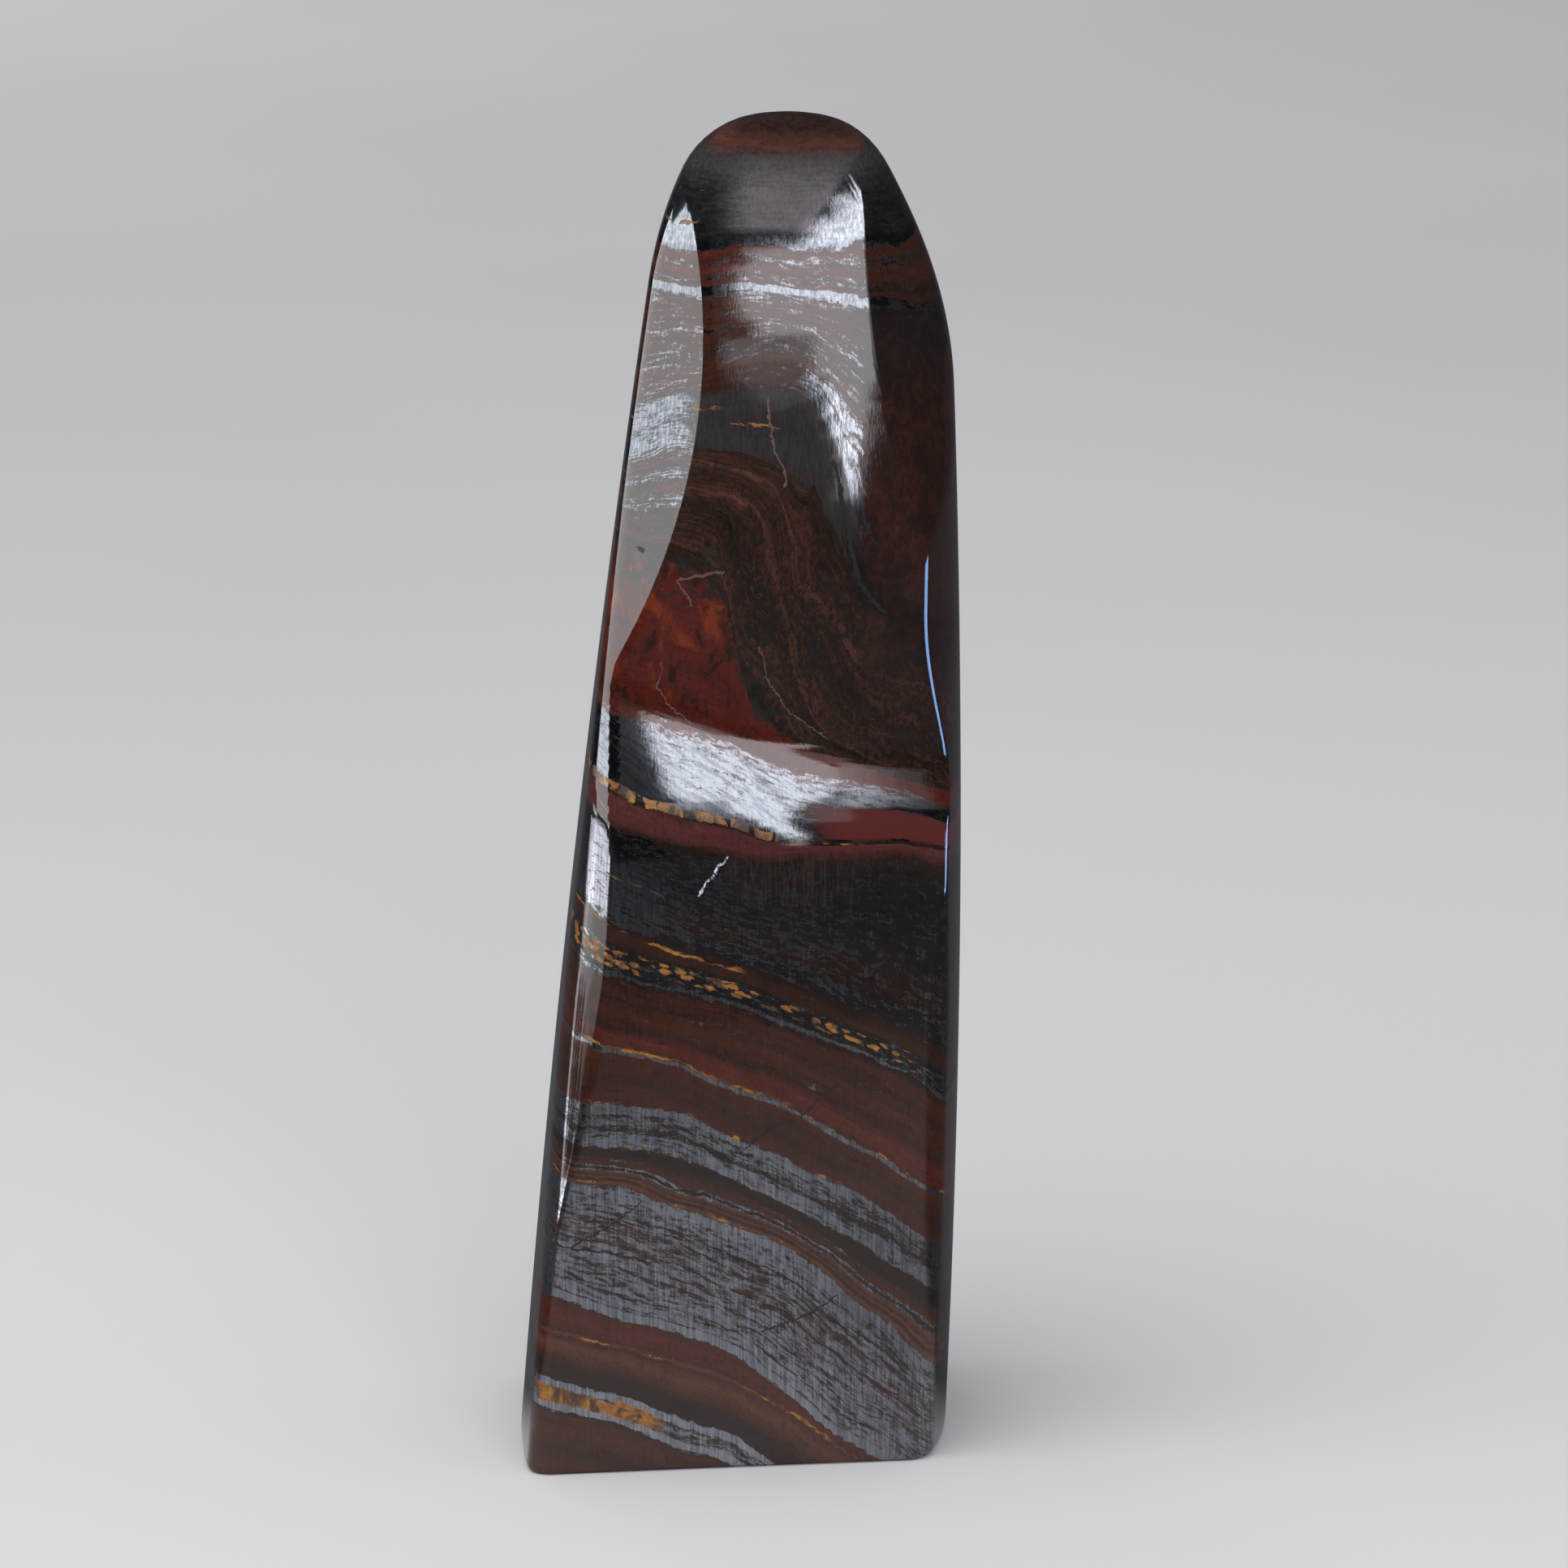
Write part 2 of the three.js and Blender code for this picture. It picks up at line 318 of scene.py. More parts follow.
def monotone(xs, knots):
    """A smooth curve through (x, height) knots that doesn't overshoot them, straight beyond its ends."""
    kx = np.array([k[0] for k in knots], float)
    kz = np.array([k[1] for k in knots], float)
    step = np.diff(kx)
    slope = np.diff(kz) / step
    tangent = np.concatenate([[slope[0]], np.zeros(len(kx) - 2), [slope[-1]]])
    for k in range(1, len(kx) - 1):
        if slope[k - 1] * slope[k] > 0:
            before = 2 * step[k] + step[k - 1]
            after = step[k] + 2 * step[k - 1]
            tangent[k] = (before + after) / (before / slope[k - 1] + after / slope[k])
    cell = np.clip(np.searchsorted(kx, xs) - 1, 0, len(kx) - 2)
    t = (xs - kx[cell]) / step[cell]
    s = np.clip(t, 0, 1)
    curve = ((1 + 2 * s) * (1 - s) ** 2 * kz[cell] + s * (1 - s) ** 2 * step[cell] * tangent[cell]
             + s * s * (3 - 2 * s) * kz[cell + 1] + s * s * (s - 1) * step[cell] * tangent[cell + 1])
    over = (t - s) * step[cell]
    return curve + over * np.where(over < 0, slope[0], slope[-1])


def cloud_noise(points, size, seed, octaves=2):
    """Smooth noise around 0 in the stone, with features of about `size` millimetres."""
    total = np.zeros(len(points))
    for octave in range(octaves):
        lattice = np.random.RandomState(seed + octave).uniform(-1, 1, (LATTICE,) * 3)
        place = points * 2 ** octave / size + LATTICE / 2
        cell = np.floor(place).astype(int)
        t = place - cell
        t = t * t * (3 - 2 * t)
        for corner in np.ndindex(2, 2, 2):
            weight = np.prod(np.where(corner, t, 1 - t), axis=1)
            total += weight * lattice[tuple((cell + corner).T % LATTICE)] / 2 ** octave
    return total


def strata(points):
    """Each point's level in the beds, its place among the fine laminae, and how far along them it lies."""
    x, y, z = points.T
    depth = y - FRONT_DEPTH
    deep = np.maximum(depth - FLEX_START, 0)
    run = x - FOLD_SHIFT * deep
    in_depth, across, up = FLEX_PERIODS
    swell = FLEX * np.sin(deep / in_depth) ** 2 * np.sin(x / across + z / up + 1)
    height = z - DIP * depth + swell
    levels = [horizon[0] for horizon in HORIZONS]
    heights = [monotone(run, horizon[1]) for horizon in HORIZONS]
    for k in range(1, len(heights)):
        heights[k] = np.maximum(heights[k], heights[k - 1] + THINNEST)
    bed = height - heights[0] + levels[0]
    for k in range(1, len(heights)):
        share = np.clip((height - heights[k - 1]) / (heights[k] - heights[k - 1]), 0, 1)
        bed = np.where(height > heights[k - 1], levels[k - 1] + share * (levels[k] - levels[k - 1]), bed)
    bed = np.where(height > heights[-1], levels[-1] + height - heights[-1], bed)
    bed = bed + WAVER * cloud_noise(points, WAVER_SIZE, WAVER_SEED)
    return bed, np.interp(bed, *zip(*LEAVES)), run


# ------------------------ node building

class Shade:
    """Builds a node tree with plain calls; a number or another node's output goes into any socket."""

    def __init__(self, tree):
        self.tree = tree

    def node(self, kind, inputs=None, **settings):
        node = self.tree.nodes.new(kind)
        for name, value in settings.items():
            setattr(node, name, value)
        for key, value in (inputs or {}).items():
            self.plug(node.inputs[key], value)
        return node

    def plug(self, socket, value):
        if isinstance(value, bpy.types.NodeSocket):
            self.tree.links.new(value, socket)
        elif isinstance(value, (tuple, list)) and len(value) == 3 and socket.type == "RGBA":
            socket.default_value = (*value, 1)
        else:
            socket.default_value = value

    def math(self, operation, a, b=0.0):
        return self.node("ShaderNodeMath", {0: a, 1: b}, operation=operation).outputs[0]

    def add(self, a, b):
        return self.math("ADD", a, b)

    def sub(self, a, b):
        return self.math("SUBTRACT", a, b)

    def mul(self, a, b):
        return self.math("MULTIPLY", a, b)

    def step(self, value, start, end):
        """0 below start, 1 above end, smooth between; start may be above end."""
        node = self.node("ShaderNodeMapRange", {"Value": value, "From Min": start, "From Max": end},
                         interpolation_type="SMOOTHSTEP", clamp=False)
        return node.outputs["Result"]

    def band(self, value, start, end, soft):
        """1 between start and end, 0 outside, with soft flanks."""
        rising, falling = (start - soft, start + soft), (end + soft, end - soft)
        return self.mul(self.step(value, *rising), self.step(value, *falling))

    def vector(self, x, y, z):
        return self.node("ShaderNodeCombineXYZ", {0: x, 1: y, 2: z}).outputs[0]

    def stretch(self, vector, scale, shift=(0, 0, 0)):
        """Coordinates for a texture, scaled and shifted."""
        return self.node("ShaderNodeMapping", dict(Vector=vector, Location=shift, Scale=scale)).outputs[0]

    def noise(self, vector, scale=1.0, detail=3.0, rough=0.55, warp=0.0):
        inputs = dict(Vector=vector, Scale=scale, Detail=detail, Roughness=rough, Distortion=warp)
        return self.node("ShaderNodeTexNoise", inputs).outputs["Fac"]

    def cells(self, vector):
        return self.node("ShaderNodeTexVoronoi", dict(Vector=vector, Scale=1.0)).outputs["Distance"]

    def mix(self, share, a, b, how="MIX"):
        """Between two colours."""
        inputs = dict(Factor=share, A=a, B=b)
        return self.node("ShaderNodeMix", inputs, data_type="RGBA", blend_type=how).outputs["Result"]

    def blend(self, share, a, b):
        """Between two numbers."""
        inputs = dict(Factor=share, A=a, B=b)
        return self.node("ShaderNodeMix", inputs, data_type="FLOAT").outputs["Result"]


# colours of the minerals, as linear base colours
BROWN = (0.048, 0.014, 0.007)
DARK = (0.018, 0.009, 0.006)
UMBER = (0.03, 0.012, 0.008)
MAROON = (0.046, 0.013, 0.009)
RED = (0.075, 0.015, 0.01)
DULL = (0.071, 0.023, 0.021)
CORE = (0.074, 0.013, 0.009)
ORANGE = (0.22, 0.068, 0.015)
RUST = (0.085, 0.032, 0.016)
GOLD = (0.37, 0.175, 0.022)
OLIVE = (0.028, 0.018, 0.009)
ASH = (0.03, 0.026, 0.026)
# the cap's grey-brown matrix made pale: partly its own colour, partly painted sheen for the window's blurry
# reflection
CAP_MATRIX_AND_PAINTED_SHEEN = (0.24, 0.19, 0.194)
TAUPE = (0.042, 0.018, 0.013)
SLATE = (0.024, 0.012, 0.009)
FIBRE = (0.085, 0.036, 0.026)
MOSS = (0.016, 0.016, 0.013)
PLUM = (0.052, 0.022, 0.019)
THREAD = (0.078, 0.031, 0.022)
GRIT = (0.064, 0.023, 0.014)
CALM = (0.027, 0.018, 0.016)
BLACK = (0.01, 0.008, 0.008)
EMBER = (0.024, 0.011, 0.008)
IRON = (0.19, 0.198, 0.218)
SILVER = (0.36, 0.375, 0.41)
CORE_DARK = (0.022, 0.009, 0.006)
CORE_BRIGHT = (0.15, 0.028, 0.01)
MOTTLE_DARK = (0.015, 0.01, 0.009)
MOTTLE_MIDDLE = (0.038, 0.014, 0.011)
MOTTLE_PALE = (0.052, 0.025, 0.017)
RUBBED = (0.055, 0.028, 0.022)
REDDENED = (0.098, 0.022, 0.02)
GOLD_SHADOW = (0.06, 0.03, 0.016)
# factors on the colour beneath
PALER = (1.7, 1.55, 1.5)
DEEPER = (0.38, 0.42, 0.45)
FOOT = (0.75, 0.7, 0.68)
RIGHT_TOP = (0.65, 1.0, 1.15)
BLACK_BAND = (0.95, 0.91, 0.91)
DULL_RIGHT = (0.72, 0.71, 0.71)
WORN = (0.55, 0.55, 0.56)
FIBROUS = (0.66, 0.64, 0.66)

# the column of strata: (level, colour of the jasper, share of hematite)
COLUMN = (
    (-20, BROWN, 0), (0, BROWN, 0.1), (0.8, UMBER, 0), (2, BROWN, 0), (3.8, BROWN, 0.05), (4.2, DARK, 0.3),
    (4.35, DARK, 0.8), (4.8, DARK, 0.75), (4.95, OLIVE, 0.42), (6, OLIVE, 0.45), (6.15, DARK, 0.8),
    (6.6, DARK, 0.7), (6.8, DARK, 0.1), (8.2, DARK, 0.05), (8.8, BROWN, 0), (10, RUST, 0),
    (10.9, MAROON, 0), (11, RUST, 0), (11.15, RUST, 0), (11.3, BROWN, 0), (12.4, RED, 0), (13.4, BROWN, 0),
    (13.6, BROWN, 0.5), (13.75, DARK, 0.85), (14.4, DARK, 0.8), (14.5, DARK, 0.35), (14.7, DARK, 0.62),
    (15.6, DARK, 0.52), (15.7, DARK, 0.3), (15.85, DARK, 0.56), (17.5, UMBER, 0.5), (17.6, DARK, 0.38),
    (17.75, UMBER, 0.54), (19.3, UMBER, 0.5), (19.4, DARK, 0.26), (19.6, UMBER, 0.5), (21, UMBER, 0.46),
    (22, DARK, 0.5), (22.1, DARK, 0.3), (22.3, DARK, 0.56), (23.3, DARK, 0.54), (24, DARK, 0.66),
    (24.4, UMBER, 0.55), (24.6, RUST, 0), (24.75, RUST, 0), (25, DARK, 0.1), (25.3, RUST, 0.1),
    (25.45, UMBER, 0), (25.8, RUST, 0.1), (25.95, DARK, 0.62), (26.15, DARK, 0.1), (26.4, UMBER, 0.6),
    (26.65, BROWN, 0), (27.2, UMBER, 0.3), (27.5, DARK, 0), (28.3, DARK, 0.2), (28.5, DARK, 0.6),
    (28.8, DARK, 0.62), (29.6, DARK, 0.55), (30, DARK, 0.3), (30.4, DARK, 0.48), (31.2, DARK, 0.5),
    (31.8, DARK, 0.7), (32.1, MAROON, 0.3), (32.4, MAROON, 0), (33.6, UMBER, 0.05), (35.7, BROWN, 0),
    (35.9, BROWN, 0.6), (36.1, BROWN, 0.75), (36.3, BROWN, 0.1), (37.4, RED, 0), (38.3, UMBER, 0.2),
    (39.4, BROWN, 0.1), (40.6, UMBER, 0.2), (41.6, BROWN, 0.1), (42.3, DARK, 0.3), (42.5, BLACK, 0.6),
    (42.8, BLACK, 0.3), (44.9, BLACK, 0.3), (45.1, UMBER, 0), (45.9, UMBER, 0.1), (46.4, DARK, 0.2),
    (46.9, BLACK, 0.2), (47.4, BLACK, 0.4), (48.4, DARK, 0.3), (50, BLACK, 0.36), (52, BLACK, 0.28),
    (54, BLACK, 0.32), (54.8, DARK, 0.25), (55.4, DULL, 0), (56.2, DULL, 0.05), (57, DULL, 0.1),
    (57.2, DARK, 0.2), (57.8, DARK, 0.6), (58.2, BLACK, 0.75), (60.6, ASH, 0.66), (62.4, ASH, 0.64),
    (63.2, RED, 0.5), (63.8, RED, 0.2), (65, CORE, 0), (70, CORE, 0), (75.8, CORE, 0), (76.4, PLUM, 0),
    (76.6, SLATE, 0.1), (77.4, SLATE, 0), (77.6, FIBRE, 0), (77.9, TAUPE, 0.15), (78.6, TAUPE, 0.2),
    (79.2, SLATE, 0.3), (79.8, SLATE, 0.45), (80.4, TAUPE, 0.35), (80.6, FIBRE, 0), (80.75, TAUPE, 0.2),
    (81.6, SLATE, 0.5), (82.3, TAUPE, 0.3), (82.6, FIBRE, 0.1), (82.75, TAUPE, 0.3), (83.8, SLATE, 0.5),
    (84.3, ASH, 0.62), (86, BLACK, 0.5), (87.6, ASH, 0.6), (88.2, UMBER, 0.35), (90.1, BROWN, 0.32),
    (90.25, RED, 0.1), (90.45, BROWN, 0.4), (91.5, UMBER, 0.36), (93.4, BROWN, 0.3), (93.6, UMBER, 0.5),
    (93.9, BROWN, 0.3), (96.4, BROWN, 0.34), (97, DARK, 0.5), (97.2, DARK, 0.95), (97.55, DARK, 0.85),
    (97.7, RED, 0.2), (98.2, UMBER, 0.45), (98.8, RED, 0.2), (99.6, BROWN, 0.45), (100.2, RED, 0.2),
    (100.6, DARK, 0.7), (101, EMBER, 0.72), (103, EMBER, 0.7), (105, EMBER, 0.66), (106.6, EMBER, 0.45),
    (107.4, EMBER, 0.3), (108.1, THREAD, 0), (108.7, PLUM, 0), (109.2, EMBER, 0.1), (110, PLUM, 0),
    (110.4, EMBER, 0.1), (114, EMBER, 0.1), (125, EMBER, 0.1),
)
# where the ramps of the column start and end
COLUMN_CUTS = (-20, 12, 26, 44, 66, 86, 125)

# The beds' edges are ragged along the lamination.
RAGGED_TEXTURE = ((1.1, 1.1, 2.6), 1.1, 6, 0.7)  # stretch, scale, detail, roughness
RAGGED = 0.85
FIBRE_SLANT = 0.3  # the ledge is cut through fibres that fall away to the right

# noises by name: (what they lie in, stretch, scale, detail, roughness, warp)
TEXTURES = dict(
    laminae=("leaves", (0.09, 0.09, 1), 3.2, 6, 0.8, 0),
    arcs=("leaves", (0.07, 0.07, 1), 4.5, 3, 0.7, 0),
    specks=("leaves", (0.6, 0.6, 3), 1.5, 4, 0.65, 0),
    fleck=("leaves", (0.45, 0.45, 3), 1.5, 6, 0.8, 0),
    swirl=("fibres", (0.2, 0.2, 2.2), 1.5, 5, 0.7, 0.3),
    broad=("beds", (0.05, 0.05, 1), 0.8, 3, 0.6, 0),
    cloud=("stone", (1, 1, 1), 0.35, 4, 0.6, 0),
    scratch=("stone", (5, 5, 0.3), 1, 3, 0.7, 0),
    grain=("stone", (1, 1, 0.6), 3, 5, 0.75, 0),
    patches=("stone", (1, 1, 0.8), 0.7, 6, 0.75, 0.8),
    mottle=("stone", (1, 1, 0.6), 0.5, 6, 0.68, 0.5),
    waves=("stone", (1, 1, 1), 0.25, 2, 0.55, 0),
    jitter=("stone", (1, 1, 1), 0.9, 4, 0.7, 0),
    jitter_up=("aside", (1, 1, 1), 0.9, 4, 0.7, 0),
)
ASIDE = (40, 0, 0)  # the shift to a second, unrelated jitter

# how much each noise lightens or darkens the jasper, and where it turns paler or deeper
TONE = dict(laminae=2.6, broad=1.2, cloud=0.8, scratch=1.2, grain=1.8)
FOLD_TONE = 0.6
PALER_TONE = (0, 0.9)
DEEPER_TONE = (0, -0.8)
# how much each noise moves the edge between jasper and hematite
PATCHY = dict(laminae=1.5, scratch=0.4)
FLECK_CONTRAST = 2.2
SPECK_CONTRAST = 4
PATCHY_SHARE = 0.75
QUIET_SHARE = 0.75
EDGE_SOFT = 0.1
QUIET_SOFT = 0.55
CAP_BEDS = (100.6, 101.4)
CAP_QUIET = 0.8

# fields of their own: the core is livelier higher up, the broken beds start along a ragged line, and the
# painted sheen on the cap ends along a slanted one
LIVELY = 0.08
LIVELY_BEDS = (66, 73)
BROKEN_RAGGED = 5
CAP_CORNER = 5.5
CAP_SLOPE = 1.38

# Zones: ranges of level, place along the beds (run), height (z) or a noise. Two numbers are a smooth step,
# three are a band with soft flanks, and four are a step in and a step out.
FOLD_BEDS = (76.2, 84, 0.3)
BLACK_BEDS = (46.5, 55, 0.4)
LEDGE_BEDS = (57.9, 63.5, 0.3)
FOLD = dict(level=(76.5, 83.7, 0.3), run=(-5, -2))
GRITTY = dict(level=(75.6, 88, 0.6), z=(84, 74))
RED_CORE = dict(level=(64.3, 76.3, 0.8), run=(2.5, -1))
BROKEN = dict(broken_run=(9.2, 11.2), z=(66, 97, 2.5))
LIMB = dict(level=(83.8, 88.1, 0.3), run=(-5, -2.5))
CALM_LIMB = dict(LIMB, z=(75, 82))
SILVERY = dict(level=(88.1, 89.9, 0.4), run=(5, 11, 1.5), z=(74, 80))
# the pale cap: painted sheen over the grey-brown matrix, with less hematite and quieter flecks
PAINTED_SHEEN_CAP = dict(cap_edge=(102.6, 103.6), z=(110, 105.5), run=(-1, 9, 2.2))
RED_END = dict(level=(57.9, 61, 0.35), run=(3, 9))

# Layers, each over what comes before: (colour or factor, share, how it mixes, zone). The colour may be a
# pattern, which is a first colour and its layers. A share that changes is (zone, outside it, inside it).
MOTTLED = (MOTTLE_DARK, (
    (MOTTLE_MIDDLE, 1, "MIX", dict(patches=(0.42, 0.6))),
    (MOTTLE_PALE, 1, "MIX", dict(patches=(0.6, 0.75))),
    (BLACK, 0.5, "MIX", dict(grain=(0.5, 0.4))),
))
JASPER_LAYERS = (
    (MOSS, 0.75, "MIX", dict(level=FOLD_BEDS, arcs=(0.5, 0.42))),
    (THREAD, 0.7, "MIX", dict(level=FOLD_BEDS, arcs=(0.56, 0.63))),
    (FOOT, 1, "MULTIPLY", GRITTY),
    (BLACK, 0.8, "MIX", dict(GRITTY, grain=(0.49, 0.42))),
    (GRIT, (dict(run=(2, 9)), 0.7, 0.25), "MIX", dict(GRITTY, grain=(0.55, 0.64))),
    (CORE_DARK, 1, "MIX", dict(RED_CORE, lively=(0.5, 0.4))),
    (CORE_BRIGHT, 1, "MIX", dict(RED_CORE, lively=(0.56, 0.68))),
    (FOOT, 1, "MULTIPLY", dict(RED_CORE, z=(71, 62))),
    (MOSS, 0.85, "MIX", dict(level=(73.6, 78, 0.9), z=(79, 76), patches=(0.52, 0.44))),
    (MOTTLED, 0.85, "MIX", BROKEN),
    (FOOT, 1, "MULTIPLY", dict(LIMB, z=(82, 75))),
    (CALM, 0.75, "MIX", CALM_LIMB),
    (RIGHT_TOP, 1, "MULTIPLY", dict(run=(8.5, 10.5), z=(88, 94))),
    (RUBBED, 0.4, "MIX", dict(level=(51, 53, 55.4, 54.6), run=(-1, 9, 1.5), scratch=(0.46, 0.58))),
    # painted sheen: the cap's matrix made pale in place of a blurry reflection
    (CAP_MATRIX_AND_PAINTED_SHEEN, 1, "MIX", PAINTED_SHEEN_CAP),
    (REDDENED, 1, "MIX", RED_END),
)
STEEL_LAYERS = (
    (SILVER, 1, "MIX", dict(level=(56, 44))),
    (BLACK_BAND, 1, "MULTIPLY", dict(level=BLACK_BEDS)),
    (SILVER, 0.8, "MIX", SILVERY),
    (SILVER, 0.55, "MIX", dict(level=(100.6, 101.2))),
    (DULL_RIGHT, 1, "MULTIPLY", dict(run=(1, 14), level=(42, 34))),
    (WORN, (dict(level=LEDGE_BEDS), 1, 0.4), "MULTIPLY", dict(scratch=(0.65, 0.35))),
    (FIBROUS, 1, "MULTIPLY", dict(level=LEDGE_BEDS, swirl=(0.54, 0.4))),
)
GOLD_LAYERS = (
    (GOLD, 1, "MIX", dict(fleck=(0.38, 0.62))),
    (GOLD_SHADOW, 1, "MIX", dict(mottle=(0.55, 0.42))),
)
# Changes of the hematite's share: (change, zone). Above 0 is added, below 0 is the part taken away.
IRON_CHANGES = (
    (-0.8, BROKEN),
    (-0.8, FOLD),
    (-0.6, LIMB),
    (0.24, SILVERY),
    (-0.35, dict(level=BLACK_BEDS, run=(2, 11))),
    (0.4, dict(level=BLACK_BEDS, run=(-4, -11))),
    (-0.3, PAINTED_SHEEN_CAP),
    (-0.7, RED_END),
)


def between(level):
    """The column's colour and hematite share at a level."""
    for (a, colour_a, iron_a), (b, colour_b, iron_b) in zip(COLUMN, COLUMN[1:]):
        if a <= level <= b:
            t = (level - a) / (b - a)
            colour = tuple(p + (q - p) * t for p, q in zip(colour_a, colour_b))
            return level, colour, iron_a + (iron_b - iron_a) * t
    raise ValueError(level)


def column_ramps(s, bed):
    """Jasper colour and hematite share along the column, in ramps short enough to hold thin lines."""
    colour = iron = None
    for low, high in zip(COLUMN_CUTS, COLUMN_CUTS[1:]):
        stops = [between(low)] + [stop for stop in COLUMN if low < stop[0] < high] + [between(high)]
        place = s.math("DIVIDE", s.sub(bed, low), high - low)
        ramp = s.node("ShaderNodeValToRGB", {"Fac": place})
        ramp.color_ramp.interpolation = "LINEAR"
        marks = ramp.color_ramp.elements
        while len(marks) < len(stops):
            marks.new(0.5)
        for mark, (level, rgb, share) in zip(marks, stops):
            mark.position = (level - low) / (high - low)
            mark.color = (*rgb, share)
        if colour is None:
            colour, iron = ramp.outputs["Color"], ramp.outputs["Alpha"]
        else:
            past = s.math("GREATER_THAN", bed, low)
            colour = s.mix(past, colour, ramp.outputs["Color"])
            iron = s.blend(past, iron, ramp.outputs["Alpha"])
    return colour, iron


# thin lines and rows of gold lenses: (level, half thickness, run from, run to, kind of lens, share of gold)
GOLD_ROWS = (
    (5.4, 0.75, -17, -6.8, "mass", 0.8),
    (11.6, 0.5, 3.5, 7.5, "short", 0.55),
    (11.1, 0.08, -16, 12, "long", 0.45),
    (24.7, 0.12, -16, 6, "long", 0.45),
    (28.7, 0.15, -10, 2, "short", 0.4),
    (32.1, 0.16, -12, 8, "short", 0.4),
    (36.35, 0.14, -13, 4, "long", 0.8),
    (36.3, 0.1, 4, 18, "short", 0.4),
    (43.9, 0.8, -15, 15, "short", 0.5),
    (46.1, 0.2, -15, 0, "long", 0.62),
    (50.4, 0.1, -12, -3, "long", 0.35),
    (57.6, 0.4, -14, 3, "tooth", 0.72),
    (57.4, 0.2, 4, 10, "short", 0.55),
    (86.9, 0.12, -9, -2, "long", 0.5),
    (85.8, 0.1, -3, 3, "long", 0.5),
    (102.6, 0.12, -8, -2, "long", 0.5),
    (104.9, 0.12, -8, -2, "short", 0.3),
    (104.9, 0.12, 9.5, 14, "short", 0.3),
)
# length and thickness
LENSES = {"mass": (5, 1.2), "short": (1.1, 0.55), "long": (2.4, 0.5), "tooth": (0.7, 2.5)}

# healed cracks across the front, and one painted highlight: (points as (x, height), half width, shade)
CRACKS_AND_GLINT = (
    (((-8.2, 23.4), (-11, 21.4), (-13.9, 19.8)), 0.07, "dark"),
    (((-16.4, 20.8), (-14.4, 19.7), (-11.5, 19.4), (-6.8, 18.1)), 0.07, "dark"),
    (((2, 11.9), (5.4, 13.1), (8.2, 14.8)), 0.06, "dark"),
    (((8.3, 32.8), (6.3, 31.6), (5, 30.2), (2.5, 29.4), (0.4, 27.7)), 0.06, "dark"),
    (((2.3, 89.7), (2.6, 87.4), (2.9, 85.5), (3.7, 84), (3.8, 82.8)), 0.05, "pink"),
    (((-6.4, 68), (-6.7, 66), (-5.6, 64.3), (-3.1, 62.5)), 0.02, "pale"),
    (((1.7, 69.4), (2.4, 66.4), (4.3, 63.8), (7.3, 61.6)), 0.02, "pale"),
    (((-5.1, 75), (-1.3, 75.8)), 0.11, "pink"),
    (((-5.1, 74.8), (-3.9, 73)), 0.08, "pink"),
    (((-8.2, 77.3), (-8, 77.2)), 0.2, "dark"),
    (((-2.9, 77.5), (-2, 77.2)), 0.2, "dark"),
    (((7.7, 84.7), (8.3, 82.3), (8.9, 79.5), (9.4, 76.8), (9.8, 74.7), (10.9, 73.4), (11.9, 72.3)), 0.13,
     "black"),
    # a painted highlight: the bluish-white glint along a faint ridge below the ledge
    (((-1, 52.4), (-3.4, 49.3)), 0.09, "painted_glint"),
)
# painted_glint is the colour of a painted highlight
SHADES = {"dark": (0.014, 0.008, 0.006), "pale": (0.12, 0.075, 0.055), "pink": (0.12, 0.05, 0.04),
          "painted_glint": (0.62, 0.7, 0.82), "black": (0.006, 0.005, 0.005)}


def segment_group():
    """Distance from a point to a straight segment, in the plane of the front."""
    tree = bpy.data.node_groups.new("segment_distance", "ShaderNodeTree")
    for name in ("Place", "Start", "End"):
        tree.interface.new_socket(name, in_out="INPUT", socket_type="NodeSocketVector")
    tree.interface.new_socket("Distance", in_out="OUTPUT", socket_type="NodeSocketFloat")
    s = Shade(tree)
    given = s.node("NodeGroupInput").outputs

    def vector(operation, *inputs):
        return s.node("ShaderNodeVectorMath", dict(enumerate(inputs)), operation=operation)

    line = vector("SUBTRACT", given["End"], given["Start"]).outputs[0]
    arm = vector("SUBTRACT", given["Place"], given["Start"]).outputs[0]
    part = s.math("DIVIDE", vector("DOT_PRODUCT", arm, line).outputs["Value"],
                  vector("DOT_PRODUCT", line, line).outputs["Value"])
    part = s.math("MINIMUM", s.math("MAXIMUM", part, 0.0), 1.0)
    foot = s.node("ShaderNodeVectorMath", {0: line}, operation="SCALE")
    s.plug(foot.inputs["Scale"], part)
    gap = vector("DISTANCE", arm, foot.outputs[0]).outputs["Value"]
    s.plug(s.node("NodeGroupOutput").inputs["Distance"], gap)
    return tree


JITTER = 1.1  # how far the cracks waver, in mm
CRACK_SWELL = (0.3, 1.7)
CRACK_SOFT = 0.035
CRACK_DEPTH = (0, -2)  # they show in front only
# the painted glint breaks up with the grain
PAINTED_GLINT_GRAIN = (0.42, 0.52)

LENS_SWELL = (0.4, 1.6)
LENS_EDGE = (1.0, 0.8)
LENS_SOFT = 0.1
LENS_FADE = 0.8

ROUGH_JASPER = 0.05
ROUGH_HEMATITE = 0.065
ROUGH_GOLD = 0.28
ROUGH_CRACK = 0.45
ROUGH_SCRATCH = 0.04
SCRATCH_RELIEF = 0.5
WAVE_RELIEF = 3.0
RELIEF = 0.000003
IOR = 1.58


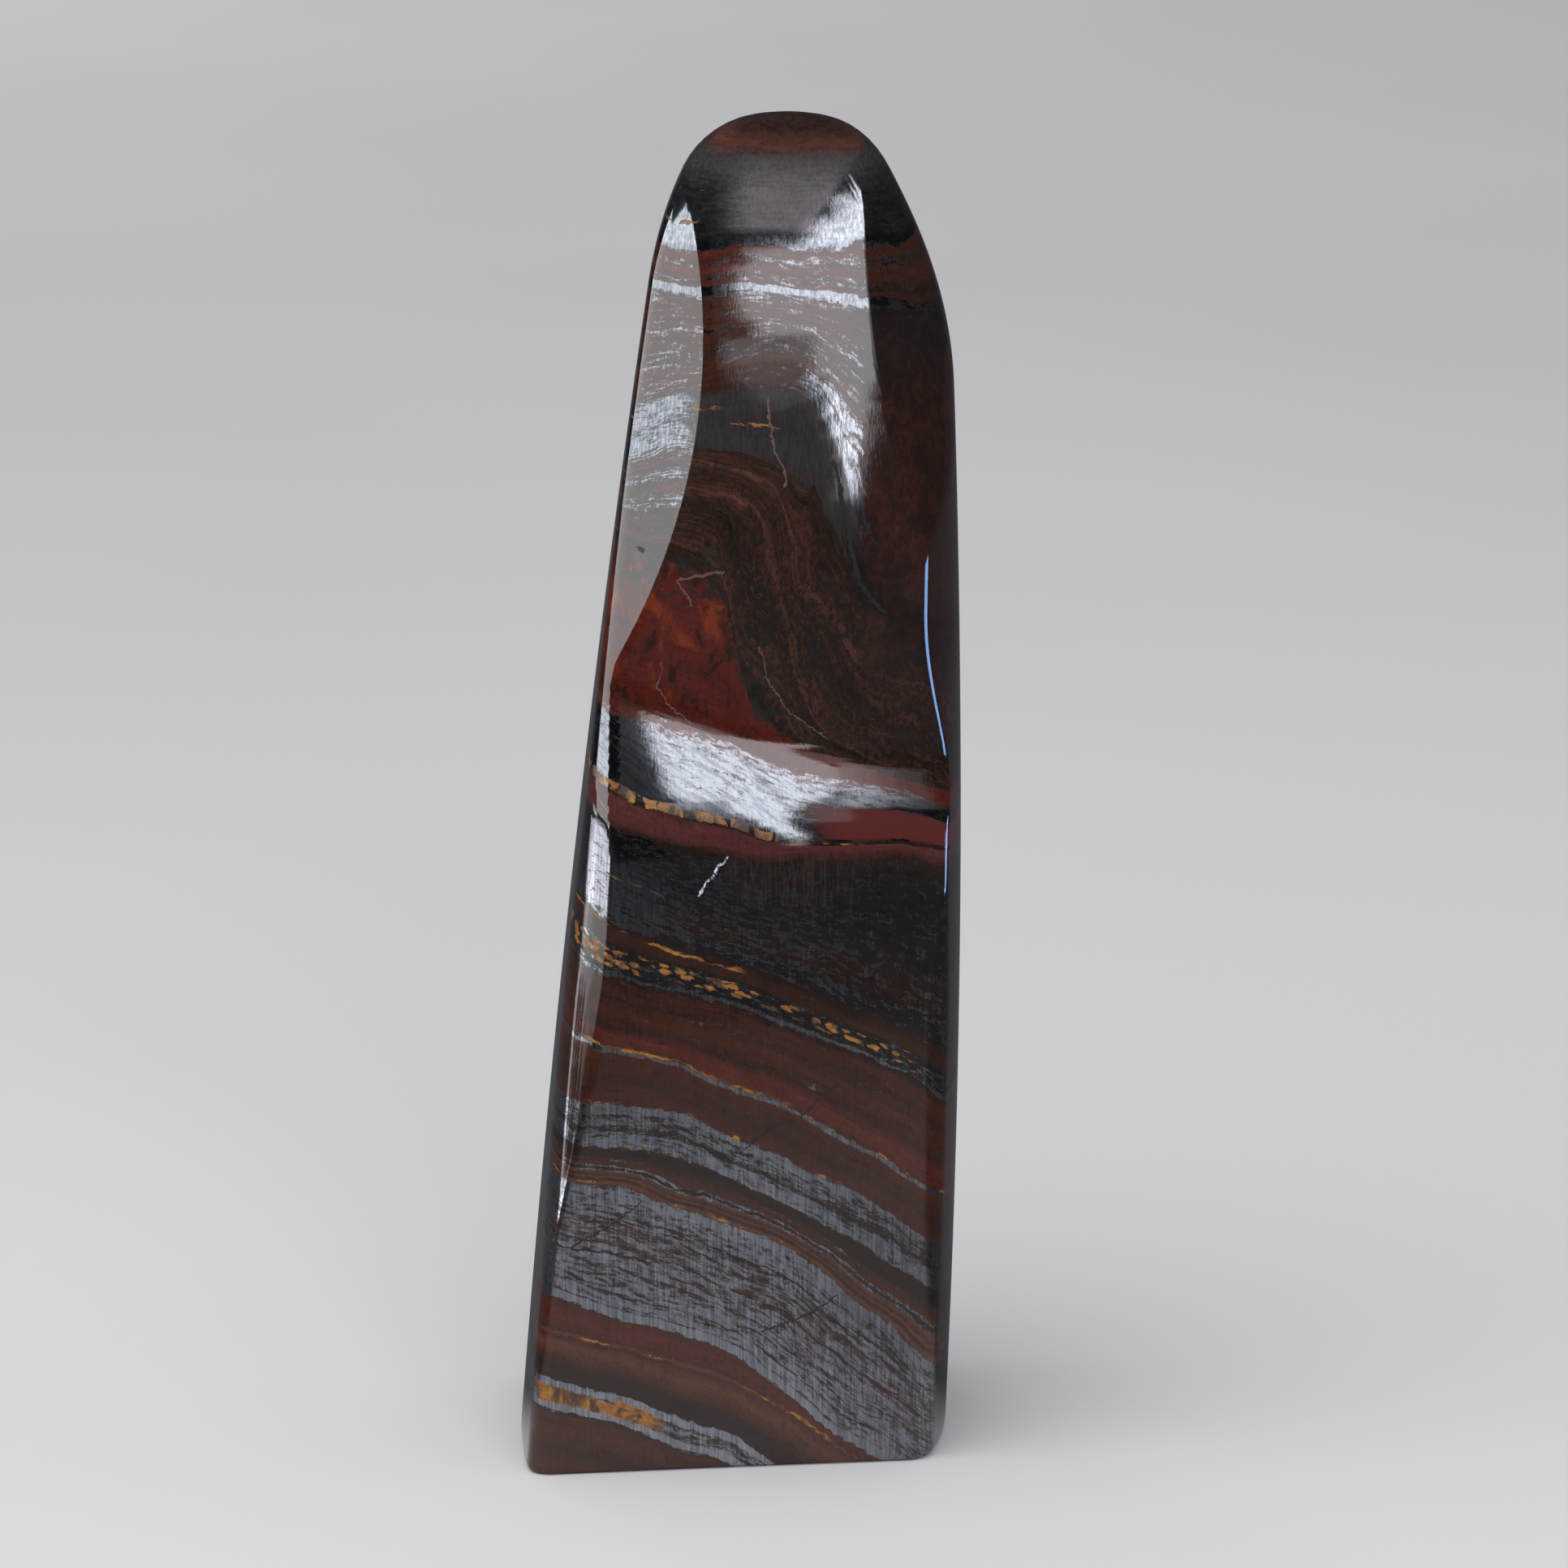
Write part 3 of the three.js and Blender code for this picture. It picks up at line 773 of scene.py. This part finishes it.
class StoneShade(Shade):
    """Shade with the stone's fields, which are a point's place, its bed and the noises, and their zones."""

    def __init__(self, tree):
        super().__init__(tree)
        whole = (1 / MM, 1 / MM, 1 / MM)
        place = self.stretch(self.node("ShaderNodeTexCoord").outputs["Object"], whole)
        x, y, z = self.node("ShaderNodeSeparateXYZ", {0: place}).outputs
        bed, leaf, run = (self.node("ShaderNodeAttribute", attribute_name=name).outputs["Fac"]
                          for name in ("bed", "leaf", "run"))
        stretch, *texture = RAGGED_TEXTURE
        edge = self.noise(self.stretch(self.vector(run, y, bed), stretch), *texture)
        ragged = self.mul(self.sub(edge, 0.5), RAGGED)
        level, leaf = self.add(bed, ragged), self.add(leaf, ragged)
        self.fields = dict(x=x, y=y, z=z, run=run, level=level)
        self.spaces = dict(
            stone=place,
            aside=self.stretch(place, (1, 1, 1), ASIDE),
            beds=self.vector(run, y, level),
            leaves=self.vector(run, y, leaf),
            fibres=self.vector(run, y, self.add(leaf, self.mul(run, FIBRE_SLANT))))
        for name, (space, stretch, *texture) in TEXTURES.items():
            self.fields[name] = self.noise(self.stretch(self.spaces[space], stretch), *texture)
        field = self.fields
        field["lively"] = self.add(field["mottle"], self.mul(self.zone(level=LIVELY_BEDS), LIVELY))
        field["broken_run"] = self.add(run, self.mul(self.sub(field["cloud"], 0.5), BROKEN_RAGGED))
        past_corner = self.math("MAXIMUM", self.sub(x, CAP_CORNER - MIDDLE_X), 0.0)
        field["cap_edge"] = self.sub(z, self.mul(past_corner, CAP_SLOPE))

    def zone(self, **ranges):
        """1 where every named field is in its range, 0 outside."""
        parts = []
        for name, edges in ranges.items():
            if len(edges) == 3:
                parts.append(self.band(self.fields[name], *edges))
            else:
                parts += [self.step(self.fields[name], *edges[k:k + 2]) for k in range(0, len(edges), 2)]
        whole = parts[0]
        for part in parts[1:]:
            whole = self.mul(whole, part)
        return whole

    def wander(self, **weights):
        """The named noises about 0, each times its weight."""
        parts = [self.mul(self.sub(self.fields[name], 0.5), weight) for name, weight in weights.items()]
        whole = parts[0]
        for part in parts[1:]:
            whole = self.add(whole, part)
        return whole

    def layered(self, colour, layers):
        """A colour with layers over it."""
        for top, share, how, where in layers:
            if len(top) == 2:
                top = self.layered(*top)
            if isinstance(share, tuple):
                around, outside, inside = share
                share = self.blend(self.zone(**around), outside, inside)
            colour = self.mix(self.mul(self.zone(**where), share), colour, top, how)
        return colour


def hematite_cover(s, iron):
    """1 where hematite shows: it takes over where its share beats the lamination."""
    for change, where in IRON_CHANGES:
        amount = s.mul(s.zone(**where), abs(change))
        iron = s.add(iron, amount) if change > 0 else s.mul(iron, s.sub(1.0, amount))
    black = s.zone(level=BLACK_BEDS)
    flecks = s.mul(s.sub(s.blend(black, s.fields["fleck"], s.fields["specks"]), 0.5),
                   s.blend(black, FLECK_CONTRAST, SPECK_CONTRAST))
    patchy = s.add(s.wander(**PATCHY), flecks)
    quiet = s.math("MAXIMUM", s.zone(**PAINTED_SHEEN_CAP), s.zone(**CALM_LIMB))
    quiet = s.math("MAXIMUM", quiet, s.mul(s.zone(level=CAP_BEDS), CAP_QUIET))
    patchy = s.mul(patchy, s.sub(1.0, s.mul(quiet, QUIET_SHARE)))
    soft = s.blend(quiet, EDGE_SOFT, QUIET_SOFT)
    return s.step(s.add(iron, s.mul(patchy, PATCHY_SHARE)), s.sub(0.5, soft), s.add(0.5, soft))


def gold_cover(s):
    """1 in the rows of gold lenses."""
    swell = s.blend(s.fields["cloud"], *LENS_SWELL)
    cells = {kind: s.cells(s.stretch(s.spaces["beds"], (1 / length, 1 / length, 1 / thick)))
             for kind, (length, thick) in LENSES.items()}
    gold = None
    for centre, half, start, end, kind, share in GOLD_ROWS:
        off = s.math("DIVIDE", s.math("ABSOLUTE", s.sub(s.fields["level"], centre)), s.mul(swell, half))
        lens = s.mul(s.step(off, *LENS_EDGE), s.step(cells[kind], share, share - LENS_SOFT))
        row = s.mul(lens, s.zone(run=(start, end, LENS_FADE)))
        gold = row if gold is None else s.math("MAXIMUM", gold, row)
    return gold


def with_cracks_and_glint(s, surface):
    """The surface's colour with the healed cracks and a painted glint drawn on it, and 1 in them."""
    group = segment_group()
    field = s.fields
    across = s.add(field["x"], s.mul(s.sub(field["jitter"], 0.5), JITTER))
    up = s.add(field["z"], s.mul(s.sub(field["jitter_up"], 0.5), JITTER))
    flat = s.vector(across, 0.0, up)
    cover = None
    for path, width, shade in CRACKS_AND_GLINT:
        nearest = None
        for (xa, za), (xb, zb) in zip(path, path[1:]):
            segment = {"Place": flat, "Start": (xa, 0, za), "End": (xb, 0, zb)}
            distance = s.node("ShaderNodeGroup", segment, node_tree=group).outputs["Distance"]
            nearest = distance if nearest is None else s.math("MINIMUM", nearest, distance)
        thickness = s.mul(s.blend(field["jitter"], *CRACK_SWELL), width)
        crack = s.mul(s.step(nearest, s.add(thickness, CRACK_SOFT), thickness), s.zone(y=CRACK_DEPTH))
        # the painted highlight breaks up with the grain
        if shade == "painted_glint":
            crack = s.mul(crack, s.zone(grain=PAINTED_GLINT_GRAIN))
        surface = s.mix(crack, surface, SHADES[shade])
        cover = crack if cover is None else s.math("MAXIMUM", cover, crack)
    return surface, cover


def new_material(name, shade):
    """A material with an empty node tree, and what builds it."""
    material = bpy.data.materials.new(name)
    material.use_nodes = True
    material.node_tree.nodes.clear()
    return material, shade(material.node_tree)


def show(s, settings):
    """Ends a material with its shader."""
    shader = s.node("ShaderNodeBsdfPrincipled", settings)
    s.node("ShaderNodeOutputMaterial", {"Surface": shader.outputs[0]})


def polished_ironstone():
    material, s = new_material("polished_ironstone", StoneShade)
    colour, iron = column_ramps(s, s.fields["level"])
    tone = s.mul(s.wander(**TONE), s.add(1.0, s.mul(s.zone(**FOLD), FOLD_TONE)))
    jasper = s.mix(s.step(tone, *PALER_TONE), colour, PALER, "MULTIPLY")
    jasper = s.mix(s.step(tone, *DEEPER_TONE), jasper, DEEPER, "MULTIPLY")
    jasper = s.layered(jasper, JASPER_LAYERS)

    hematite = hematite_cover(s, iron)
    gold = gold_cover(s)
    surface = s.mix(hematite, jasper, s.layered(IRON, STEEL_LAYERS))
    surface = s.mix(gold, surface, s.layered(ORANGE, GOLD_LAYERS))
    # the cracks' mask holds the painted glint as well
    surface, cracks = with_cracks_and_glint(s, surface)

    # Where half is metal, the jasper beside it would show too brightly, but not on the cap: there the pale
    # matrix shows through as a painted sheen.
    metal = s.blend(s.zone(**PAINTED_SHEEN_CAP), s.mul(hematite, s.sub(2.0, hematite)), hematite)
    metal = s.mul(metal, s.sub(1.0, s.math("MAXIMUM", gold, cracks)))
    rough = s.blend(hematite, ROUGH_JASPER, ROUGH_HEMATITE)
    rough = s.blend(cracks, s.blend(gold, rough, ROUGH_GOLD), ROUGH_CRACK)
    rough = s.add(rough, s.wander(scratch=ROUGH_SCRATCH))
    relief = s.add(s.mul(s.fields["scratch"], SCRATCH_RELIEF), s.mul(s.fields["waves"], WAVE_RELIEF))
    bump = s.node("ShaderNodeBump", {"Height": relief, "Strength": 1.0, "Distance": RELIEF})
    show(s, {"Base Color": surface, "Metallic": metal, "Roughness": rough, "IOR": IOR,
             "Normal": bump.outputs[0]})
    return material


# ------------------------ the stone

bed, leaf, run = strata(points)
points[:, :2] -= middle

mesh = bpy.data.meshes.new("banded_stone")
mesh.from_pydata((points * MM).tolist(), [], faces)
mesh.polygons.foreach_set("use_smooth", [len(face) <= 4 for face in faces])  # all but the base
for name, values in (("bed", bed), ("leaf", leaf), ("run", run)):
    attribute = mesh.attributes.new(name, "FLOAT", "POINT")
    attribute.data.foreach_set("value", values.astype(np.float32))
mesh.update()
corner_point = np.empty(len(mesh.loops), dtype=np.int32)
mesh.loops.foreach_get("vertex_index", corner_point)
corner_normals = normals[corner_point]
corner_normals[-COLUMNS:] = (0, 0, -1)
mesh.normals_split_custom_set(corner_normals.tolist())
mesh.materials.append(polished_ironstone())
stone = bpy.data.objects.new("banded_stone", mesh)
bpy.context.scene.collection.objects.link(stone)
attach(stone, "root")
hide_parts(NODE)

# ------------------------ floor

FLOOR_REACH = 8.0
CLOTH = ((0.735, 0.725, 0.745), (0.765, 0.755, 0.77))
CLOTH_NOISE = (3.0, 2)  # scale and detail
CLOTH_PATCHES = (0.3, 0.7)
CLOTH_ROUGHNESS = 0.95
# For mirror rays alone, the floor has painted shade that darkens it towards the camera: (from, to) in
# metres in front of the stone, and the factor there. Beyond MIRRORED_FRONT, beside the stone and behind it,
# mirror
# rays see the floor painted dark: painted shade.
MIRRORED_FRONT = 0.226
PAINTED_MIRROR_SHADE = (((0.0, 0.07), (0.62, 0.63, 0.64)), ((0.08, MIRRORED_FRONT), (0.26, 0.27, 0.28)))
PAINTED_SHADE_CARD = (0.1, 0.105, 0.115)
PAINTED_SHADE_ASIDE = (0.03, 0.06)
PAINTED_SHADE_SPREAD = 0.4  # the gap between the painted shade on either side widens with the distance from the stone
PAINTED_SHADE_BEHIND = (0.01, -0.01)


def floor_material():
    material, s = new_material("pale_cloth", Shade)
    place = s.node("ShaderNodeTexCoord").outputs["Object"]
    colour = s.mix(s.step(s.noise(place, *CLOTH_NOISE), *CLOTH_PATCHES), *CLOTH)
    x, y, _ = s.node("ShaderNodeSeparateXYZ", {0: place}).outputs
    near = s.mul(y, -1.0)
    mirror_shaded = colour
    for edges, factor in PAINTED_MIRROR_SHADE:
        mirror_shaded = s.mix(s.step(near, *edges), mirror_shaded, s.mix(1.0, colour, factor, "MULTIPLY"))
    aside = s.sub(s.math("ABSOLUTE", x), s.mul(s.math("ABSOLUTE", y), PAINTED_SHADE_SPREAD))
    painted_shade = s.math("MAXIMUM", s.step(aside, *PAINTED_SHADE_ASIDE), s.math("GREATER_THAN", near, MIRRORED_FRONT))
    painted_shade = s.math("MAXIMUM", painted_shade, s.step(near, *PAINTED_SHADE_BEHIND))
    # painted shade: only mirror rays see the floor this dark
    mirrored = s.node("ShaderNodeLightPath").outputs["Is Glossy Ray"]
    colour = s.mix(mirrored, colour, s.mix(painted_shade, mirror_shaded, PAINTED_SHADE_CARD))
    show(s, {"Base Color": colour, "Roughness": CLOTH_ROUGHNESS, "Specular IOR Level": 0.0})
    return material


sheet = bpy.data.meshes.new("floor")
corners = [(-1, -1), (1, -1), (1, 1), (-1, 1)]
sheet.from_pydata([(FLOOR_REACH * x, FLOOR_REACH * y, 0) for x, y in corners], [], [(0, 1, 2, 3)])
sheet.materials.append(floor_material())
floor = bpy.data.objects.new("floor", sheet)
bpy.context.scene.collection.objects.link(floor)

# ------------------------ light

TARGET = Vector((0, 0, 0.057))
COOL = (0.95, 0.98, 1.0)
WHITE = (1, 1, 1)
# the rays that don't see a lamp
UNSEEN = ("camera",)
MIRRORED_ONLY = ("camera", "diffuse")
NOT_MIRRORED = ("glossy",)
FLOOR_ONLY = ("glossy", "camera")

# A window is a plane of soft boxes: where it stands as seen from the stone, and its boxes as (low, high,
# left, right, radiance), in metres from the middle of the plane.
FRONT_WINDOW = dict(azimuth=15, elevation=18, distance=1.5, colour=(0.95, 0.965, 1.0))
FRONT_PANES = (
    (0.53, 0.62, 0.1, 0.4, 4.2),
    (0.46, 0.53, -0.05, 0.4, 4.2),
    (0.4, 0.46, -0.17, 0.3, 4.2),
    (0.34, 0.4, -0.22, 0.3, 4.2),
    (0.3, 0.34, -0.345, 0.1, 4.2),
    (0.15, 0.3, -0.375, 0.1, 4.2),
    (0.09, 0.15, -0.35, 0.05, 4.2),
    (0.04, 0.09, -0.29, 0, 4.2),
    (-0.03, 0.04, -0.245, -0.05, 4.2),
    (-0.1, -0.03, -0.215, -0.08, 4.2),
    (-0.18, -0.1, -0.185, -0.1, 4.2),
    (-0.25, -0.18, -0.155, -0.09, 4.2),
    (-0.31, -0.25, -0.13, -0.08, 4.2),
    (-0.4, -0.31, -0.115, -0.085, 4.2),
    (0.03, 0.1, -0.42, -0.24, 1.4),
    (-0.03, 0.03, -0.4, -0.24, 1),
    (-0.07, -0.03, -0.37, -0.21, 0.7),
    (-0.1, -0.07, -0.35, -0.2, 0.4),
    (-0.15, 0.1, -0.06, 0.08, 0.8),
    (0.1, 0.34, 0.1, 0.15, 2.4),
    (0.1, 0.34, 0.15, 0.2, 1.9),
    (0.05, 0.34, 0.2, 0.26, 1.2),
    (0.05, 0.34, 0.26, 0.34, 0.65),
    (0.02, 0.1, 0.08, 0.15, 1.7),
    (0.02, 0.1, 0.15, 0.2, 1.3),
    (-0.03, 0.02, 0.08, 0.14, 1.3),
    (-0.03, 0.02, 0.14, 0.2, 0.9),
    (-0.02, 0.05, 0.2, 0.26, 0.6),
    (-0.05, 0.05, 0.26, 0.34, 0.35),
    (0.12, 0.32, -0.56, -0.385, 0.12),
)
# the window at the left stands near the stone
LEFT_WINDOW = dict(azimuth=-83, elevation=0, distance=0.33, colour=COOL)
LEFT_PANES = (
    (-0.057, -0.047, -0.03, 0.03, 4.4),
    (-0.047, -0.043, -0.03, 0.03, 3),
    (-0.043, -0.037, -0.03, 0.03, 2),
    (-0.037, -0.03, -0.03, 0.03, 1.1),
    (-0.055, -0.046, -0.06, -0.03, 4.6),
    (-0.046, -0.036, -0.06, -0.03, 2),
    (-0.055, -0.049, -0.09, -0.06, 4.4),
    (-0.049, -0.042, -0.09, -0.06, 2.2),
    (-0.055, -0.05, -0.12, -0.09, 4),
    (-0.05, -0.046, -0.12, -0.09, 2),
    (-0.057, -0.051, -0.18, -0.12, 3),
    (-0.029, -0.012, -0.12, -0.03, 3.4),
    (-0.012, 0.043, -0.03, 0.1, 3.4),
)
# single boxes: (name, azimuth, elevation, distance, width, height, radiance, colour), all angles in degrees
BOXES = (
    ("window_upper_left", -90, 15, 0.33, 56, 16, 3.3, COOL),
    ("strip_right", 75, -6, 0.26, 28, 12, 12, (0.28, 0.52, 1.0)),
)
# even light from a large part of the sky: azimuth, elevation, strength, angle
FILL = (-60, 45, 0.2, 60)
# square boxes that light the floor: (name, place, what it faces, size, radiance)
FLOOR_BOXES = (
    ("soft_near", (-0.2, -0.25, 0.55), (0, 0, 0), 0.65, 1.55),
    ("soft_back", (-0.8, 1.35, 0.55), (-0.3, 1.3, 0), 0.5, 2.6),
)


def way_to(azimuth, elevation):
    """Unit vector from the stone; azimuth from the front, positive to the right."""
    a, e = radians(azimuth), radians(elevation)
    return Vector((sin(a) * cos(e), -cos(a) * cos(e), sin(e)))


def facing(way):
    """The turn of a lamp that hangs that way from what it lights."""
    return way.to_track_quat("Z", "Y").to_matrix().to_4x4()


def hang(name, light, matrix, blind_rays):
    lamp = bpy.data.objects.new(name, light)
    lamp.matrix_world = matrix
    for ray in blind_rays:
        setattr(lamp, f"visible_{ray}", False)
    bpy.context.scene.collection.objects.link(lamp)


def soft_box(name, matrix, width, height, radiance, colour, blind_rays):
    light = bpy.data.lights.new(name, "AREA")
    light.shape = "RECTANGLE"
    light.size = width
    light.size_y = height
    light.energy = radiance * pi * light.size * light.size_y
    light.color = colour
    hang(name, light, matrix, blind_rays)


def hang_window(name, window, panes, blind_rays):
    turn = facing(way_to(window["azimuth"], window["elevation"]))
    for number, (low, high, left, right, radiance) in enumerate(panes):
        centre = Vector(((left + right) / 2, (low + high) / 2, window["distance"]))
        matrix = Matrix.Translation(TARGET) @ turn @ Matrix.Translation(centre)
        size = (right - left, high - low)
        soft_box(f"{name}_{number}", matrix, *size, radiance, window["colour"], blind_rays)


hang_window("window", FRONT_WINDOW, FRONT_PANES, UNSEEN)
hang_window("window_left", LEFT_WINDOW, LEFT_PANES, MIRRORED_ONLY)
for name, azimuth, elevation, distance, width, height, radiance, colour in BOXES:
    way = way_to(azimuth, elevation)
    width, height = (2 * distance * tan(radians(angle / 2)) for angle in (width, height))
    matrix = Matrix.Translation(TARGET + way * distance) @ facing(way)
    soft_box(name, matrix, width, height, radiance, colour, MIRRORED_ONLY)
azimuth, elevation, strength, angle = FILL
sky = bpy.data.lights.new("fill_left", "SUN")
sky.energy = strength
sky.angle = radians(angle)
hang("fill_left", sky, facing(way_to(azimuth, elevation)), NOT_MIRRORED)
for name, place, goal, size, radiance in FLOOR_BOXES:
    matrix = Matrix.Translation(place) @ facing(Vector(place) - Vector(goal))
    soft_box(name, matrix, size, size, radiance, WHITE, FLOOR_ONLY)

# a pale tent for the camera and for matt surfaces, and a dark room in the polish
TENT = {"Color": (0.985, 0.98, 1.0), "Strength": 0.465}
ROOM = {"Color": (0.9, 0.93, 1.0), "Strength": 0.03}
world = bpy.data.worlds.new("studio")
world.use_nodes = True
world.node_tree.nodes.clear()
s = Shade(world.node_tree)
ray = s.node("ShaderNodeLightPath").outputs
in_tent = s.math("MAXIMUM", ray["Is Camera Ray"], ray["Is Diffuse Ray"])
room, tent = (s.node("ShaderNodeBackground", settings).outputs[0] for settings in (ROOM, TENT))
around = s.node("ShaderNodeMixShader", {0: in_tent, 1: room, 2: tent})
s.node("ShaderNodeOutputWorld", {"Surface": around.outputs[0]})
world.cycles.sampling_method = "NONE"
bpy.context.scene.world = world
bpy.context.scene.view_settings.view_transform = "Standard"

# ------------------------ camera

IMAGE = 1932
OFF_CENTRE = (55, -18)  # of the stone in the photograph, in its pixels
CAMERA_ELEVATION = 12
CAMERA_DISTANCE = 0.55
SENSOR = 24
FOCAL_LENGTH = 100

lens = bpy.data.cameras.new("camera")
lens.sensor_fit = "HORIZONTAL"
lens.sensor_width = SENSOR
lens.lens = FOCAL_LENGTH
lens.shift_x, lens.shift_y = (shift / IMAGE for shift in OFF_CENTRE)
lens.clip_start = 0.01
lens.clip_end = 50
camera = bpy.data.objects.new("camera", lens)
view = way_to(0, CAMERA_ELEVATION)
camera.location = TARGET + view * CAMERA_DISTANCE
camera.rotation_euler = view.to_track_quat("Z", "Y").to_euler()
bpy.context.scene.collection.objects.link(camera)
bpy.context.scene.camera = camera
